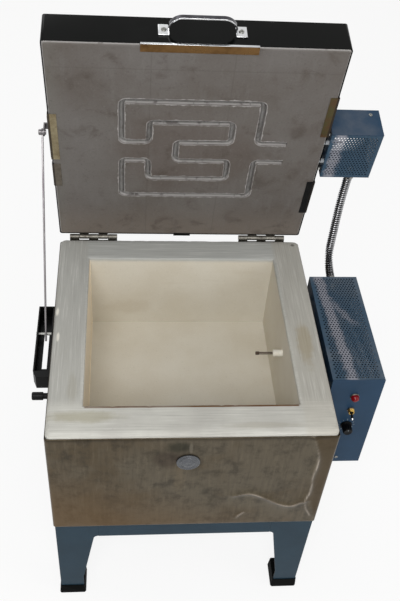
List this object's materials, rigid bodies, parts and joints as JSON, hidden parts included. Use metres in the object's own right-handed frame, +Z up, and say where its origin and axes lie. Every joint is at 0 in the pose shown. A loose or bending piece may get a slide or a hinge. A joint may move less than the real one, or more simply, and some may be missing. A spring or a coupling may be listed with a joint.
{
  "type": "glass kiln",
  "caption": "Square top-opening electric glass kiln: firebrick chamber in a sheet-metal case on legs, hinged brick lid with a grooved element, stay, perforated control box.",
  "frame": {"origin": "centre of the whole kiln's bounding box in plan, on the floor under the rubber feet", "axes": "+Z up, -Y towards the front with the peephole, +X towards the control box on the viewer's right"},
  "size_m": [0.6502, 0.5836, 1.108],
  "materials": {
    "stainless_case": "brushed stainless sheet, dulled and lightly heat-tinted, with dents",
    "galvanised": "plain galvanised sheet",
    "lid_sheet": "brushed stainless sheet",
    "base_board": "matt insulating board",
    "firebrick": "porous insulating firebrick, cream inside, greyed and stained on the rim",
    "lid_firebrick": "porous insulating firebrick coated grey-brown",
    "stand_paint": "satin blue-grey enamel",
    "box_paint": "satin blue-grey enamel",
    "black_enamel": "high-gloss black",
    "black_steel": "satin black",
    "rubber": "matt black rubber",
    "zinc_steel": "zinc plate",
    "clip_sheet": "heat-tinted sheet",
    "chrome": "polished chrome",
    "conduit_steel": "galvanised interlocked strip",
    "element_wire": "oxidised resistance wire",
    "probe_wire": "oxidised thermocouple wire",
    "white_ceramic": "unglazed white ceramic",
    "plug_ceramic": "pale grey smooth ceramic",
    "brass": "brass",
    "black_plastic": "matt black plastic",
    "grey_plastic": "matt grey plastic",
    "red_lens": "clear red plastic"
  },
  "bodies": {
    "kiln": {"case_wrap": "stainless_case", "bottom_pan": "galvanised", "base_board": "base_board", "floor_brick": "firebrick", "front_wall_brick": "firebrick", "back_wall_brick": "firebrick", "left_wall_brick": "firebrick", "right_wall_brick": "firebrick", "stand_leg_front_left": "stand_paint", "stand_leg_front_right": "stand_paint", "stand_leg_rear_left": "stand_paint", "stand_leg_rear_right": "stand_paint", "stand_rail_front": "stand_paint", "stand_rail_rear": "stand_paint", "stand_rail_left": "stand_paint", "stand_rail_right": "stand_paint", "rubber_boots": "rubber", "rail_bolts": "zinc_steel", "hinge_body_leaves": "zinc_steel", "hinge_pins": "zinc_steel", "body_screws": "zinc_steel", "guide_channel": "black_steel", "guide_cross_pin": "zinc_steel", "side_peg": "black_steel", "thermocouple_sheath": "white_ceramic", "thermocouple_wires": "probe_wire", "control_box_base": "box_paint", "control_box_cover": "box_paint", "control_box_standoffs": "zinc_steel", "pilot_lamp_bezel": "chrome", "pilot_lamp_lens": "red_lens", "power_switch_body": "brass", "heat_regulator": "grey_plastic", "power_relay": "black_plastic", "mains_gland": "black_plastic", "conduit_connector_low": "zinc_steel", "conduit": "conduit_steel"},
    "lid": {"lid_brick": "lid_firebrick", "lid_band": "black_enamel", "lid_top_sheet": "lid_sheet", "heating_element": "element_wire", "element_staples": "element_wire", "front_clip": "clip_sheet", "edge_clips": "black_steel", "lid_handle": "chrome", "lid_screws": "zinc_steel", "hinge_lid_leaves": "zinc_steel", "stay_bracket": "zinc_steel", "stay_pivot_pin": "zinc_steel", "terminal_box_base": "box_paint", "terminal_box_cover": "box_paint", "terminal_box_standoffs": "zinc_steel", "element_bushings": "white_ceramic", "conduit_connector_top": "zinc_steel"},
    "stay": {"stay_arm": "zinc_steel"},
    "power_switch": {"power_switch_lever": "black_plastic"},
    "knob": {"heat_knob": "black_plastic"},
    "plug": {"peephole_plug": "plug_ceramic"}
  },
  "joints": [
    {"name": "lid_hinge", "type": "hinge", "parent": "kiln", "child": "lid", "pos_m": [-0.0389, 0.22824, 0.56], "axis": [1, 0, 0], "range_deg": [0, 77], "deforming": ["conduit"]},
    {"name": "stay_pivot", "type": "hinge", "parent": "lid", "child": "stay", "pos_m": [-0.3064, 0.17488, 0.85116], "axis": [1, 0, 0], "range_deg": [-47.5, 0]},
    {"name": "switch_tilt", "type": "hinge", "parent": "kiln", "child": "power_switch", "pos_m": [0.2751, -0.16196, 0.459], "axis": [-1, 0, 0], "range_deg": [0, 32]},
    {"name": "knob_turn", "type": "hinge", "parent": "kiln", "child": "knob", "pos_m": [0.2751, -0.15746, 0.411], "axis": [0, 1, 0], "range_deg": [0, 300]},
    {"name": "plug_slide", "type": "slide", "parent": "kiln", "child": "plug", "axis": [0, -1, 0], "range_m": [0, 0.075]}
  ],
  "couplings": [
    {"joint": "stay_pivot", "follows": "lid_hinge", "ratio": -0.6091}
  ]
}
